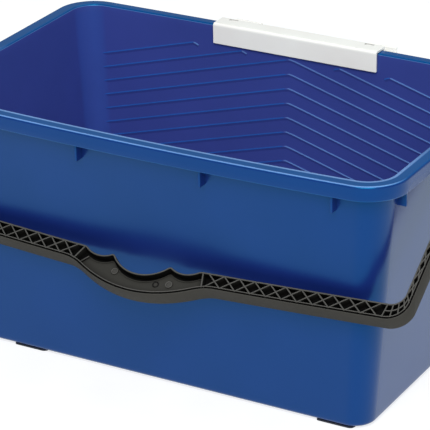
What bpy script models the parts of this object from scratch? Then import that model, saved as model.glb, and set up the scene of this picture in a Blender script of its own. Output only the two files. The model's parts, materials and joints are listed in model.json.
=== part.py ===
"""Paint roller scuttle: a one-piece moulded tub with a roll-off wall, a lattice bail handle on two
push-in pivot pins, a saddle clip on the back rim, and four thin foot pads.

Frame: metres, +X to the right along the long side, -Y towards the front, +Z up.
The origin is on the surface that the foot pads stand on, under the middle of the whole object's
box, clip hooks and handle included. Sizes below count Y from the middle of the tub's rim instead,
and the last lines of this script move everything by CENTRE_SHIFT.
"""

import math

import bmesh
import bpy

MM = 0.001

CENTRE_SHIFT = -4.1 * MM

# Tub: the rim is a rounded rectangle, and the walls draft inwards to a smaller base.
RIM_HALF_X, RIM_HALF_Y = 200 * MM, 122 * MM
RIM_CORNER = 30 * MM
RIM_BAND = 9.3 * MM
SKIRT_DROP, SKIRT_WALL = 11.6 * MM, 2.1 * MM
TUB_HEIGHT = 207 * MM
BASE_HALF_X, BASE_FRONT_Y, BASE_BACK_Y = 168.7 * MM, 92 * MM, 95.5 * MM
BASE_CORNER = 17 * MM
OVERHANG = 8.3 * MM
BACK_OVERHANG = 6.4 * MM
WALL = 2.6 * MM
FLOOR = 2.8 * MM
BASE_FILLET, FLOOR_FILLET = 3 * MM, 6 * MM
FRONT_BOW, BACK_BOW = 7 * MM, 1.6 * MM

# Foot pads, glued under the base.
PAD_HEIGHT, GAP = 1.3 * MM, 0.3 * MM
PAD_DEPTH, PAD_INSET = 22 * MM, 1.2 * MM
PAD_SPANS = {"left": (-135 * MM, -106 * MM), "right": (128 * MM, 158 * MM)}
BASE_Z = PAD_HEIGHT + GAP
RIM_Z = BASE_Z + TUB_HEIGHT

# Roll-off ridges: chevrons on the inside of the back wall, cut off level near the rim.
RIDGE_PITCH, RIDGE_SLOPE = 11.83 * MM, 0.27
RIDGE_TOP = RIM_Z - 18 * MM
RIDGE_HALF_WIDTH, RIDGE_TAPER = 175.3 * MM, 0.094
RIDGE_LOWEST = BASE_Z + 16 * MM
RIDGE_WIDE, RIDGE_PROUD, RIDGE_ROOT = 1.5 * MM, 1.2 * MM, 1.2 * MM
RIDGE_HOOK = 5 * MM

# Webs that stiffen the rim, under the skirt.
WEB_THICK, WEB_DROP, WEB_INSET = 2 * MM, 25.6 * MM, 4.6 * MM
WEB_PITCH = 102.7 * MM
SIDE_WEB_Y = 85 * MM

# Handle: a flat bail that hangs from pivots half way along the end walls.
SWING_REST = math.radians(35.47)
PIVOT_Z = BASE_Z + 187.4 * MM
BAIL_THICK = 14.7 * MM
BAR_FRONT_Y, BAR_Z = -110.5 * MM, BASE_Z + 117.7 * MM
BAR_V_BOW, BAR_ROUND_BOW = 9.3 * MM, 1.7 * MM
BAR_WIDE = 12.6 * MM
RAIL = 1.2 * MM
RIB = 1.2 * MM
ARM_INNER_X, ARM_OUTER_X = 204.3 * MM, 210.5 * MM
BAIL_INNER_CORNER, BAIL_OUTER_CORNER = 10 * MM, 17 * MM
CELL = 12.2 * MM
CELL_START = 55.3 * MM
BAR_CELLS = 11
ARM_CELLS = 8
BAIL_WEB = 2 * MM
GRIP_HALF, GRIP_DROP = 55 * MM, 37.2 * MM
SCALLOP_INNER, SCALLOP_OUTER = 24 * MM, 48 * MM
EYE_RADIUS, PIN_RADIUS, PIN_CLEAR = 10.5 * MM, 4 * MM, 0.08 * MM
PIN_HEAD_RADIUS, PIN_HEAD = 7.5 * MM, 2 * MM
BOSS_RADIUS, BOSS_FACE_X = 7.4 * MM, 202.9 * MM

# Clip: a saddle over the back rim with two hooks behind it.
CLIP_X, CLIP_HALF = 4 * MM, 72 * MM
CLIP_WALL = 2.2 * MM
CLIP_LIP_Y, CLIP_REAR_Y = 110.1 * MM, 126.6 * MM
CLIP_LIP_DROP, CLIP_REAR_DROP = 14.7 * MM, 20 * MM
CLIP_HOOK_WIDE, CLIP_HOOK_TIP_Y, CLIP_HOOK_RISE = 24.4 * MM, 149 * MM, 14 * MM
CLIP_SLOT_X, CLIP_SLOT_WIDE, CLIP_SLOT_DEEP = 60 * MM, 8 * MM, 2.6 * MM

ARC_STEPS = 6
EDGE_STEPS = 8
ROUND_STEPS = 48

for old in list(bpy.data.objects):
    bpy.data.objects.remove(old)


# ---------------------------------------------------------------- helpers

def material(name, colour, roughness):
    made = bpy.data.materials.new(name)
    made.use_nodes = True
    shader = made.node_tree.nodes["Principled BSDF"]
    shader.inputs["Base Color"].default_value = (*colour, 1)
    shader.inputs["Roughness"].default_value = roughness
    shader.inputs["Metallic"].default_value = 0
    return made


def add_object(name, bm, finish=None, helper=False):
    """Puts a bmesh into the scene as one object, with its faces turned outwards."""
    bmesh.ops.recalc_face_normals(bm, faces=bm.faces)
    mesh = bpy.data.meshes.new(name)
    bm.to_mesh(mesh)
    bm.free()
    made = bpy.data.objects.new(name, mesh)
    bpy.context.collection.objects.link(made)
    if finish:
        mesh.materials.append(finish)
    if helper:
        made.hide_render = True
        made.display_type = "WIRE"
    return made


def boolean(target, tool, operation):
    step = target.modifiers.new(tool.name, "BOOLEAN")
    step.object = tool
    step.operation = operation
    step.solver = "EXACT"


def loft(bm, rings):
    """One closed skin through rings of equal length, with a flat face on each end."""
    loops = [[bm.verts.new(point) for point in ring] for ring in rings]
    count = len(loops[0])
    for lower, upper in zip(loops, loops[1:]):
        for i in range(count):
            j = (i + 1) % count
            bm.faces.new((lower[i], lower[j], upper[j], upper[i]))
    bm.faces.new(reversed(loops[0]))
    bm.faces.new(loops[-1])


def prism(bm, outline, low, high):
    """An (x, y) outline extruded from z = low to z = high."""
    loft(bm, [[(x, y, z) for x, y in outline] for z in (low, high)])


def box(bm, low, high):
    outline = [(low[0], low[1]), (high[0], low[1]), (high[0], high[1]), (low[0], high[1])]
    prism(bm, outline, low[2], high[2])


def x_cylinder(bm, centre_y, centre_z, radius, x_low, x_high):
    circle = []
    for i in range(ROUND_STEPS):
        turn = 2 * math.pi * i / ROUND_STEPS
        circle.append((centre_y + radius * math.cos(turn), centre_z + radius * math.sin(turn)))
    loft(bm, [[(x, y, z) for y, z in circle] for x in (x_low, x_high)])


def mix(a, b, share):
    return a + (b - a) * share


# ---------------------------------------------------------------- tub

def ring(half_x, front, back, corner, front_bow, back_bow, z):
    """A rounded rectangle whose front and back edges bow outwards in the middle."""
    centre_x = half_x - corner
    outline = []
    corners = ((1, -front + corner, -90), (1, back - corner, 0),
               (-1, back - corner, 90), (-1, -front + corner, 180))
    for side, centre_y, start in corners:
        for i in range(ARC_STEPS + 1):
            turn = math.radians(start + 90 * i / ARC_STEPS)
            outline.append((side * centre_x + corner * math.cos(turn),
                            centre_y + corner * math.sin(turn)))
        if start in (0, 180):
            for i in range(1, EDGE_STEPS):
                x = side * centre_x * (1 - 2 * i / EDGE_STEPS)
                outline.append((x, back if start == 0 else -front))
    points = []
    for x, y in outline:
        bulge = 1 - (x / half_x) ** 2
        points.append((x, y + (back_bow if y > 0 else -front_bow) * bulge, z))
    return points


def wall_size(z, inset):
    """Half width, front, back, corner radius and bows of the wall's skin at height z."""
    rise = (z - BASE_Z) / TUB_HEIGHT
    return (
        mix(BASE_HALF_X, RIM_HALF_X - OVERHANG, rise) - inset,
        mix(BASE_FRONT_Y, RIM_HALF_Y - OVERHANG, rise) - inset,
        mix(BASE_BACK_Y, RIM_HALF_Y - BACK_OVERHANG, rise) - inset,
        mix(BASE_CORNER, RIM_CORNER - OVERHANG, rise) - inset,
        FRONT_BOW * rise**3,
        BACK_BOW * rise,
    )


def wall_ring(z, inset=0.0):
    return ring(*wall_size(z, inset), z)


def rim_ring(inset, drop):
    return ring(RIM_HALF_X - inset, RIM_HALF_Y - inset, RIM_HALF_Y - inset, RIM_CORNER - inset,
                FRONT_BOW, BACK_BOW, RIM_Z - drop)


def inner_back_y(x, z):
    half_x, _, back, _, _, bow = wall_size(z, WALL)
    return back + bow * (1 - (x / half_x) ** 2)


def tub_skin():
    """From the base, up the outside, round the rim and skirt, and down the inside to the floor."""
    levels = [BASE_Z + share * TUB_HEIGHT for share in (0.3, 0.5, 0.65, 0.78, 0.9)]
    rings = [
        wall_ring(BASE_Z, BASE_FILLET),
        wall_ring(BASE_Z + 0.3 * BASE_FILLET, 0.3 * BASE_FILLET),
        wall_ring(BASE_Z + BASE_FILLET),
    ]
    rings += [wall_ring(z) for z in levels]
    under_rim = WALL
    rings += [
        wall_ring(RIM_Z - under_rim),
        rim_ring(SKIRT_WALL, under_rim),
        rim_ring(SKIRT_WALL, SKIRT_DROP),
        rim_ring(0, SKIRT_DROP),
        rim_ring(0, 1.8 * MM),
        rim_ring(0.5 * MM, 0.5 * MM),
        rim_ring(1.8 * MM, 0),
        rim_ring(RIM_BAND, 0),
        wall_ring(RIM_Z - 1.6 * MM, WALL),
    ]
    rings += [wall_ring(z, WALL) for z in reversed(levels)]
    floor_z = BASE_Z + FLOOR
    rings += [
        wall_ring(floor_z + FLOOR_FILLET, WALL),
        wall_ring(floor_z + 0.3 * FLOOR_FILLET, WALL + 0.3 * FLOOR_FILLET),
        wall_ring(floor_z, WALL + FLOOR_FILLET),
    ]
    bm = bmesh.new()
    loft(bm, rings)
    return bm


def ridge(bm, stations):
    """A rib along (x, z) stations on the back wall, rooted in the wall and standing proud of it."""
    half = RIDGE_WIDE / 2
    rings = []
    for x, z in stations:
        section = []
        for lift, depth in ((-half, RIDGE_ROOT), (half, RIDGE_ROOT),
                            (half * 0.6, -RIDGE_PROUD), (-half * 0.6, -RIDGE_PROUD)):
            section.append((x, inner_back_y(x, z) + depth, z + lift))
        rings.append(section)
    loft(bm, rings)


def ridge_end(apex_z):
    """Where a leg from the middle of the wall stops: at the panel's drafted edge or low down."""
    reach = RIDGE_HALF_WIDTH - RIDGE_TAPER * (RIM_Z - apex_z)
    reach /= 1 + RIDGE_TAPER * RIDGE_SLOPE
    return min(reach, (apex_z - RIDGE_LOWEST) / RIDGE_SLOPE)


def roll_off_ridges():
    bm = bmesh.new()
    for step in (1, 2):
        apex_z = RIDGE_TOP + step * RIDGE_PITCH
        start, end = (apex_z - RIDGE_TOP) / RIDGE_SLOPE, ridge_end(apex_z)
        for side in (-1, 1):
            ridge(bm, [
                (side * (start - RIDGE_HOOK), RIDGE_TOP - 1.5 * MM),
                (side * start, RIDGE_TOP),
                (side * end, apex_z - end * RIDGE_SLOPE),
            ])
    apex_z = RIDGE_TOP
    while apex_z > RIDGE_LOWEST + RIDGE_PITCH:
        end = ridge_end(apex_z)
        low = apex_z - end * RIDGE_SLOPE
        ridge(bm, [(-end, low), (0, apex_z), (end, low)])
        apex_z -= RIDGE_PITCH
    return add_object("ridge_tool", bm, helper=True)


def rim_webs():
    """Thin plates between the skirt's underside and the wall, square to the wall."""
    bm = bmesh.new()
    low, high = RIM_Z - WEB_DROP, RIM_Z - WALL + 0.6 * MM
    half = WEB_THICK / 2
    half_x, front, back, _, front_bow, back_bow = wall_size(low, WALL * 0.6)
    for step in (-1.5, -0.5, 0.5, 1.5):
        x = step * WEB_PITCH
        bulge = 1 - (x / RIM_HALF_X) ** 2
        outer = RIM_HALF_Y - WEB_INSET
        box(bm, (x - half, -outer - FRONT_BOW * bulge, low),
            (x + half, -front - front_bow * bulge, high))
        box(bm, (x - half, back + back_bow * bulge, low),
            (x + half, outer + BACK_BOW * bulge, high))
    for side in (-1, 1):
        for y in (-SIDE_WEB_Y, SIDE_WEB_Y):
            edges = sorted((side * half_x, side * (RIM_HALF_X - WEB_INSET)))
            box(bm, (edges[0], y - half, low), (edges[1], y + half, high))
    return add_object("web_tool", bm, helper=True)


def pivot_bosses():
    bosses, holes = bmesh.new(), bmesh.new()
    wall_x = wall_size(PIVOT_Z, 0)[0]
    for side in (-1, 1):
        x_cylinder(bosses, 0, PIVOT_Z, BOSS_RADIUS,
                   side * (wall_x - 0.6 * WALL), side * BOSS_FACE_X)
        x_cylinder(holes, 0, PIVOT_Z, PIN_RADIUS + PIN_CLEAR,
                   side * (wall_x + 0.8 * MM), side * (BOSS_FACE_X + MM))
    return (add_object("boss_tool", bosses, helper=True),
            add_object("boss_hole_tool", holes, helper=True))


def make_tub():
    tub = add_object("tub", tub_skin(), material("tub_blue", (0.012, 0.075, 0.33), 0.25))
    bosses, holes = pivot_bosses()
    boolean(tub, roll_off_ridges(), "UNION")
    boolean(tub, rim_webs(), "UNION")
    boolean(tub, bosses, "UNION")
    boolean(tub, holes, "DIFFERENCE")


# ---------------------------------------------------------------- handle
# The bail is drawn flat, with u along X and v the distance from the pivot line. Its object turns
# about the pivot line, so -Y of the object is the direction of growing v.

BAR_V = (-BAR_FRONT_Y * math.cos(SWING_REST)
         + (PIVOT_Z - BAR_Z) * math.sin(SWING_REST))
TOP_W = BAIL_THICK / 2


def bar_inner(u):
    """The bar's inner edge: a shallow V with a slight curve, lowest at the middle."""
    share = abs(u) / RIM_HALF_X
    return BAR_V + BAR_V_BOW * (1 - share) + BAR_ROUND_BOW * (1 - share**2)


def scallop(u, left, right, depth):
    """Depth of a circular finger hollow between two peaks."""
    half = (right - left) / 2
    radius = (half**2 + depth**2) / (2 * depth)
    return math.sqrt(radius**2 - (u - left - half) ** 2) - (radius - depth)


def grip_inner(u):
    place = abs(u)
    if place < SCALLOP_INNER:
        return bar_inner(SCALLOP_INNER) + scallop(u, -SCALLOP_INNER, SCALLOP_INNER, 11.6 * MM)
    if place < SCALLOP_OUTER:
        line = mix(bar_inner(SCALLOP_INNER), bar_inner(SCALLOP_OUTER),
                   (place - SCALLOP_INNER) / (SCALLOP_OUTER - SCALLOP_INNER))
        return line + scallop(place, SCALLOP_INNER, SCALLOP_OUTER, 4.2 * MM)
    return bar_inner(u)


def grip_outer(u):
    if abs(u) > GRIP_HALF:
        return bar_inner(u) + BAR_WIDE
    end = bar_inner(GRIP_HALF) + BAR_WIDE
    return mix(BAR_V + GRIP_DROP, end, (u / GRIP_HALF) ** 2)


def corner(centre_u, centre_v, radius):
    """A quarter turn from the bar to the right arm."""
    turns = [math.pi / 2 * i / ARC_STEPS for i in range(ARC_STEPS + 1)]
    return [(centre_u + radius * math.sin(t), centre_v + radius * math.cos(t)) for t in turns]


def bail_outline():
    """Right half of the outer edge and of the inner edge, each from the middle to the pivot line."""
    grip_us = [i * 2 * MM for i in range(28)]
    bar_us = [u * MM for u in (60, 90, 120, 150, 175)]
    outer_u = ARM_OUTER_X - BAIL_OUTER_CORNER
    outer = [(u, grip_outer(u)) for u in grip_us[::2] + bar_us]
    outer += corner(outer_u, grip_outer(outer_u) - BAIL_OUTER_CORNER, BAIL_OUTER_CORNER)
    outer.append((ARM_OUTER_X, 0))
    inner_u = ARM_INNER_X - BAIL_INNER_CORNER
    inner = [(u, grip_inner(u)) for u in grip_us + bar_us]
    inner += corner(inner_u, grip_inner(inner_u) - BAIL_INNER_CORNER, BAIL_INNER_CORNER)
    inner.append((ARM_INNER_X, 0))
    return outer, inner


def both_sides(half):
    """A right half from the middle outwards, turned into a line from the left end to the right."""
    return [(-u, v) for u, v in reversed(half[1:])] + half


def shrink(polygon, inset):
    """A convex polygon with every edge moved inwards."""
    area = sum(a[0] * b[1] - b[0] * a[1] for a, b in zip(polygon, polygon[1:] + polygon[:1]))
    if area < 0:
        polygon = polygon[::-1]
    lines = []
    for a, b in zip(polygon, polygon[1:] + polygon[:1]):
        du, dv = b[0] - a[0], b[1] - a[1]
        length = math.hypot(du, dv)
        normal = (-dv / length, du / length)
        lines.append((*normal, normal[0] * a[0] + normal[1] * a[1] + inset))
    made = []
    for (a, b, c), (d, e, f) in zip(lines[-1:] + lines[:-1], lines):
        det = a * e - b * d
        made.append(((c * e - b * f) / det, (a * f - c * d) / det))
    return made


def lattice(start_pairs):
    """Pockets between the X-shaped ribs that join pairs of points on the two rails."""
    centres = []
    pockets = []
    for (inner_a, outer_a), (inner_b, outer_b) in zip(start_pairs, start_pairs[1:]):
        centre = tuple(sum(p[i] for p in (inner_a, outer_a, inner_b, outer_b)) / 4 for i in (0, 1))
        centres.append(centre)
        pockets.append([inner_a, inner_b, centre])
        pockets.append([outer_a, outer_b, centre])
    for (inner_p, outer_p), left, right in zip(start_pairs[1:], centres, centres[1:]):
        pockets.append([inner_p, left, outer_p, right])
    pockets.append([*start_pairs[0], centres[0]])
    pockets.append([*start_pairs[-1], centres[-1]])
    return [shrink(pocket, RIB / 2) for pocket in pockets]


def corner_pockets(start, end):
    """Four-sided pockets round the corner, split by radial ribs and one rib along the middle."""
    sectors = 4
    pockets = []
    for i in range(sectors):
        for low, high in ((0, 0.5), (0.5, 1)):
            quad = []
            for share, band in ((i, low), (i + 1, low), (i + 1, high), (i, high)):
                turn = math.pi / 2 * share / sectors
                inner = (start[0][0] + BAIL_INNER_CORNER_RAIL * math.sin(turn),
                         end[0][1] + BAIL_INNER_CORNER_RAIL * math.cos(turn))
                outer = (start[1][0] + (end[1][0] - start[1][0]) * math.sin(turn),
                         end[1][1] + (start[1][1] - end[1][1]) * math.cos(turn))
                quad.append((mix(inner[0], outer[0], band), mix(inner[1], outer[1], band)))
            pockets.append(shrink(quad, RIB / 2))
    return pockets


BAIL_INNER_CORNER_RAIL = BAIL_INNER_CORNER + RAIL


def bail_pockets():
    half_rail = RAIL - RIB / 2
    bar = []
    for i in range(BAR_CELLS + 1):
        u = CELL_START + i * CELL
        bar.append(((u, bar_inner(u) + half_rail), (u, bar_inner(u) + BAR_WIDE - half_rail)))
    arm_top = bar_inner(RIM_HALF_X) - BAIL_INNER_CORNER
    arm = []
    for i in range(ARM_CELLS + 1):
        v = arm_top - i * CELL
        arm.append(((ARM_INNER_X + half_rail, v), (ARM_OUTER_X - half_rail, v)))
    right = lattice(bar) + lattice(arm) + corner_pockets(bar[-1], arm[0])
    return right + [[(-u, v) for u, v in pocket] for pocket in right]


def grip_panel():
    """The recess of the grip, inside its scalloped rim, its lower rim and its two end ribs."""
    us = [i * 2.5 * MM for i in range(21)]
    upper = both_sides([(u, grip_inner(u) + 1.5 * RAIL) for u in us])
    lower = both_sides([(u, grip_outer(u) - 2 * RAIL) for u in us[::2]])
    return upper + lower[::-1]


def flat(outline):
    """Bail drawing coordinates to the object's own x and y."""
    return [(u, -v) for u, v in outline]


def make_handle():
    finish = material("handle_black", (0.02, 0.02, 0.019), 0.45)
    outer, inner = bail_outline()
    bm = bmesh.new()
    prism(bm, flat(both_sides(outer) + both_sides(inner)[::-1]), -TOP_W, TOP_W)
    bail = add_object("bail_handle", bm, finish)

    eyes, bores, pockets = bmesh.new(), bmesh.new(), bmesh.new()
    for side in (-1, 1):
        x_cylinder(eyes, 0, 0, EYE_RADIUS, side * ARM_INNER_X, side * ARM_OUTER_X)
        x_cylinder(bores, 0, 0, PIN_RADIUS + PIN_CLEAR,
                   side * (ARM_INNER_X - MM), side * (ARM_OUTER_X + MM))
    for outline in [*bail_pockets(), grip_panel()]:
        prism(pockets, flat(outline), BAIL_WEB / 2, TOP_W + MM)
        prism(pockets, flat(outline), -TOP_W - MM, -BAIL_WEB / 2)
    tools = [
        (add_object("eye_tool", eyes, helper=True), "UNION"),
        (add_object("pocket_tool", pockets, helper=True), "DIFFERENCE"),
        (add_object("bore_tool", bores, helper=True), "DIFFERENCE"),
    ]
    for tool, operation in tools:
        boolean(bail, tool, operation)
    for placed in [bail, *(tool for tool, _ in tools)]:
        placed.location = (0, 0, PIVOT_Z)
        placed.rotation_euler = (SWING_REST, 0, 0)


def make_pivot_pins():
    """Push-in pins: a shank through the bail's eye into the tub's boss, with a flat head outside."""
    finish = material("pin_black", (0.02, 0.02, 0.019), 0.4)
    tip_x = wall_size(PIVOT_Z, 0)[0] + 1.5 * MM
    head_x = ARM_OUTER_X + GAP
    for name, side in (("left_pivot_pin", -1), ("right_pivot_pin", 1)):
        profile = ((tip_x, PIN_RADIUS * 0.8), (tip_x + MM, PIN_RADIUS), (head_x, PIN_RADIUS),
                   (head_x, PIN_HEAD_RADIUS), (head_x + PIN_HEAD * 0.6, PIN_HEAD_RADIUS),
                   (head_x + PIN_HEAD, PIN_HEAD_RADIUS * 0.8))
        rings = []
        for x, radius in profile:
            turns = [2 * math.pi * i / ROUND_STEPS for i in range(ROUND_STEPS)]
            rings.append([(side * x, radius * math.cos(t), radius * math.sin(t)) for t in turns])
        bm = bmesh.new()
        loft(bm, rings)
        pin = add_object(name, bm, finish)
        pin.location = (0, 0, PIVOT_Z)


# ---------------------------------------------------------------- clip and feet

def make_clip():
    """A saddle drawn in the (y, z) plane, extruded along X, with a J-shaped hook at each end."""
    top = RIM_Z + GAP + CLIP_WALL
    lip_low, rear_low = RIM_Z - CLIP_LIP_DROP, RIM_Z - CLIP_REAR_DROP
    front, rear = CLIP_LIP_Y, CLIP_REAR_Y
    edge = 1.5 * MM
    saddle = [
        (front, lip_low), (front, top - edge), (front + 0.3 * edge, top - 0.3 * edge),
        (front + edge, top), (rear - edge, top), (rear - 0.3 * edge, top - 0.3 * edge),
        (rear, top - edge), (rear, rear_low), (rear - CLIP_WALL, rear_low),
        (rear - CLIP_WALL, top - CLIP_WALL), (front + CLIP_WALL, top - CLIP_WALL),
        (front + CLIP_WALL, lip_low),
    ]
    tip, tip_z = CLIP_HOOK_TIP_Y, rear_low + CLIP_HOOK_RISE
    hook = [
        (rear - 0.5 * MM, rear_low), (tip - edge, rear_low), (tip, rear_low + edge), (tip, tip_z),
        (tip - CLIP_WALL, tip_z), (tip - CLIP_WALL, rear_low + CLIP_WALL),
        (rear - 0.5 * MM, rear_low + CLIP_WALL),
    ]

    def along_x(outline, low_x, high_x):
        bm = bmesh.new()
        loft(bm, [[(x, y, z) for y, z in outline] for x in (low_x, high_x)])
        return bm

    low_x, high_x = CLIP_X - CLIP_HALF, CLIP_X + CLIP_HALF
    clip = add_object("rim_clip", along_x(saddle, low_x, high_x),
                      material("clip_white", (0.82, 0.82, 0.8), 0.35))
    shrink_end = 0.2 * MM
    spans = {"left": (low_x + shrink_end, low_x + CLIP_HOOK_WIDE),
             "right": (high_x - CLIP_HOOK_WIDE, high_x - shrink_end)}
    for side, (start, end) in spans.items():
        tool = add_object(f"hook_{side}_tool", along_x(hook, start, end), helper=True)
        boolean(clip, tool, "UNION")
    slots = bmesh.new()
    for side in (-1, 1):
        middle = CLIP_X + side * CLIP_SLOT_X
        box(slots, (middle - CLIP_SLOT_WIDE / 2, rear - CLIP_WALL - CLIP_SLOT_DEEP, RIM_Z - MM),
            (middle + CLIP_SLOT_WIDE / 2, rear - CLIP_WALL - 0.2 * MM, top + MM))
    boolean(clip, add_object("slot_tool", slots, helper=True), "DIFFERENCE")


def make_feet():
    """Thin pads near the long edges of the base. The right ones bevel round the base's corner."""
    finish = material("foot_rubber", (0.015, 0.017, 0.025), 0.7)
    for end, (low_x, high_x) in PAD_SPANS.items():
        for row, side, edge_y in (("front", -1, BASE_FRONT_Y), ("rear", 1, BASE_BACK_Y)):
            outer, cut = edge_y - PAD_INSET, 5 * MM
            inner = outer - PAD_DEPTH
            outline = [(low_x, inner), (high_x, inner), (high_x, outer - cut), (high_x - cut, outer),
                       (low_x + 0.4 * cut, outer), (low_x, outer - 0.4 * cut)]
            bm = bmesh.new()
            prism(bm, [(x, side * y) for x, y in outline], 0, PAD_HEIGHT)
            add_object(f"foot_{row}_{end}", bm, finish)


make_tub()
make_handle()
make_pivot_pins()
make_clip()
make_feet()
for placed in bpy.data.objects:
    placed.location.y += CENTRE_SHIFT
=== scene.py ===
# %% [markdown]
# # A paint roller scuttle
# This is a deep plastic tub for paint. A roller is dipped in it and then rolled off on the ridged
# back wall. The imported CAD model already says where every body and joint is, so this script loads
# it first and then builds finer surfaces for the same pieces: the moulded tub, the lattice handle
# and its two pins, the white clip, and the foot pads.

import json
import math

import bpy
import numpy as np
from mathutils import Matrix, Vector


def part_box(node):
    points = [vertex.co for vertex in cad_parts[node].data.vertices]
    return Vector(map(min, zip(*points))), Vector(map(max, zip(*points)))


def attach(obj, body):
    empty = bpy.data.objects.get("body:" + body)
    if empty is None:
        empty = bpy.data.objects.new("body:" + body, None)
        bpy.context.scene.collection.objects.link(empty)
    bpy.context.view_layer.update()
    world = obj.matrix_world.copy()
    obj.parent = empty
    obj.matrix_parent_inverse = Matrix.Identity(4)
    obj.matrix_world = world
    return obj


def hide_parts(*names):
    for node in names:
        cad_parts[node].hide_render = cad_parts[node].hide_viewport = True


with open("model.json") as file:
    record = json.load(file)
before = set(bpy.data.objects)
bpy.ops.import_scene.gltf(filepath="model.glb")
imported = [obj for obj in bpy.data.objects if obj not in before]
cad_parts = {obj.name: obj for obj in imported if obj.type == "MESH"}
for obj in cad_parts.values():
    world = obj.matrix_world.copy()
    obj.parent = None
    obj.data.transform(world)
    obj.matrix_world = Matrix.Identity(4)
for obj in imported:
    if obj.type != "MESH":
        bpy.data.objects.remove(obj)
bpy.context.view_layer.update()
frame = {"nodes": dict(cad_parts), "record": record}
print("CAD nodes:", sorted(frame["nodes"]))

# %% [markdown]
# ## Where things are
# All sizes are metres, with +Z up. The tub's own box gives the heights and the middle of the rim,
# and the swing joint gives the line that the handle turns about. The drawings below are made about
# the middle of the rim, and each finished piece is moved to that middle as its mesh is written.

# %% Take the main places from the frame
MM = 0.001
tub_low, tub_high = (Vector(corner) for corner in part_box("tub"))
swing = next(j for j in frame["record"]["behaviour"]["joints"] if j["type"] == "hinge")

BASE_Z, RIM_Z = tub_low.z, tub_high.z
RIM_HALF_X, RIM_HALF_Y = 200 * MM, 122 * MM
FRONT_BOW, BACK_BOW = 7 * MM, 1.6 * MM
MIDDLE_Y = tub_high.y - RIM_HALF_Y - BACK_BOW
PIVOT_Z = swing["pos_m"][2]
print(f"base {BASE_Z:.4f}  rim {RIM_Z:.4f}  middle y {MIDDLE_Y:.4f}  pivot {PIVOT_Z:.4f}")

# %% [markdown]
# ## Closed skins from grids
# Every piece here is a grid of points: rows that follow each other along the piece, and columns
# that go round it. Neighbouring points make four-sided faces, and one flat face closes each end.
# A skin can come out inside out, so its volume is worked out with a sign, and a negative volume
# turns all its faces round.

# %% Make closed skins
def grid_faces(rows, columns, looped):
    """Face i, j joins points (i, j), (i, j+1), (i+1, j+1), (i+1, j); columns always wrap round."""
    last = rows if looped else rows - 1
    row, column = np.arange(last)[:, None], np.arange(columns)[None, :]
    above, beside = (row + 1) % rows, (column + 1) % columns
    corners = [row * columns + column, row * columns + beside,
               above * columns + beside, above * columns + column]
    return np.stack(corners, axis=-1).reshape(-1, 4)


def signed_volume(points, triangles):
    """One sixth of the sum of a . (b x c) over the triangles a, b, c."""
    a, b, c = (points[triangles[:, i]] for i in range(3))
    return np.einsum("ij,ij->", a, np.cross(b, c)) / 6


def shell(rings, looped=False):
    """A closed skin through rings (rows, columns, xyz), capped at both ends unless it is looped."""
    rows, columns = rings.shape[:2]
    points = rings.reshape(-1, 3)
    quads = grid_faces(rows, columns, looped)
    triangles = [quads[:, [0, 1, 2]], quads[:, [0, 2, 3]]]
    caps = []
    if not looped:
        caps = [np.arange(columns)[::-1], (rows - 1) * columns + np.arange(columns)]
        for cap in caps:
            first = np.full(columns - 2, cap[0])
            triangles.append(np.stack([first, cap[1:-1], cap[2:]], axis=-1))
    faces = quads.tolist() + [cap.tolist() for cap in caps]
    if signed_volume(points, np.concatenate(triangles)) < 0:
        faces = [face[::-1] for face in faces]
    return points, faces


print("a skin of 5 rings of 8 points has", len(grid_faces(5, 8, False)), "quads")

# %% [markdown]
# ## From skins to pieces
# A moulded part is often easiest to think of as a few simple solids that run into each other, such
# as a wall with ribs on it. Their skins go into one mesh. Smooth shading rounds the fine arcs, and
# edges that turn more than a set angle stay crisp.

# %% Write skins into one piece
SHARP_ANGLE = math.radians(38)


def write_mesh(name, shells):
    """Skins after each other in one mesh, moved from drawing coordinates to the object's place."""
    points, faces, count = [], [], 0
    for skin_points, skin_faces in shells:
        points.append(skin_points)
        faces += [[i + count for i in face] for face in skin_faces]
        count += len(skin_points)
    placed = np.concatenate(points) + (0, MIDDLE_Y, 0)
    mesh = bpy.data.meshes.new(name)
    mesh.from_pydata(placed.tolist(), [], faces)
    mesh.shade_smooth()
    mesh.set_sharp_from_angle(angle=SHARP_ANGLE)
    return mesh


def add_piece(name, shells, finish, body, node):
    """One finished piece that moves with a CAD body and stands for one of the CAD's nodes."""
    mesh = write_mesh(name, shells)
    mesh.materials.append(finish)
    made = bpy.data.objects.new(name, mesh)
    bpy.context.collection.objects.link(made)
    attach(made, body)
    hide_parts(node)
    print(f"{name}: {len(mesh.vertices)} points, {len(mesh.polygons)} faces")
    return made


# %% [markdown]
# ## Flat outlines
# Plates, pads and the clip are outlines given some thickness. A moulded edge is never knife sharp,
# so corners of an outline are rounded, and the two faces of a plate are drawn in a little.

# %% Round, inset and extrude outlines
def unit(vectors):
    """Each vector over its own length."""
    return vectors / np.linalg.norm(vectors, axis=-1, keepdims=True)


def left_of(vectors):
    """A quarter turn to the left: (a, b) becomes (-b, a)."""
    return np.stack([-vectors[..., 1], vectors[..., 0]], axis=-1)


def counter_clockwise(outline):
    """An outline's area is half the sum of x*y' - x'*y; a negative one is turned round."""
    after = np.roll(outline, -1, axis=0)
    area = np.sum(outline[:, 0] * after[:, 1] - after[:, 0] * outline[:, 1]) / 2
    return outline if area > 0 else outline[::-1]


def round_corners(outline, radii, steps=5):
    """Each corner c becomes the curve (1-s)^2 p + 2s(1-s) c + s^2 q, with p and q on its sides."""
    outline = np.asarray(outline, float)
    to_last = unit(np.roll(outline, 1, axis=0) - outline)
    to_next = unit(np.roll(outline, -1, axis=0) - outline)
    reach = np.broadcast_to(radii, len(outline))[:, None]
    p, q = outline + to_last * reach, outline + to_next * reach
    s = np.linspace(0, 1, steps)[None, :, None]
    curve = (1 - s) ** 2 * p[:, None] + 2 * s * (1 - s) * outline[:, None] + s**2 * q[:, None]
    return curve.reshape(-1, 2)


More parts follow.
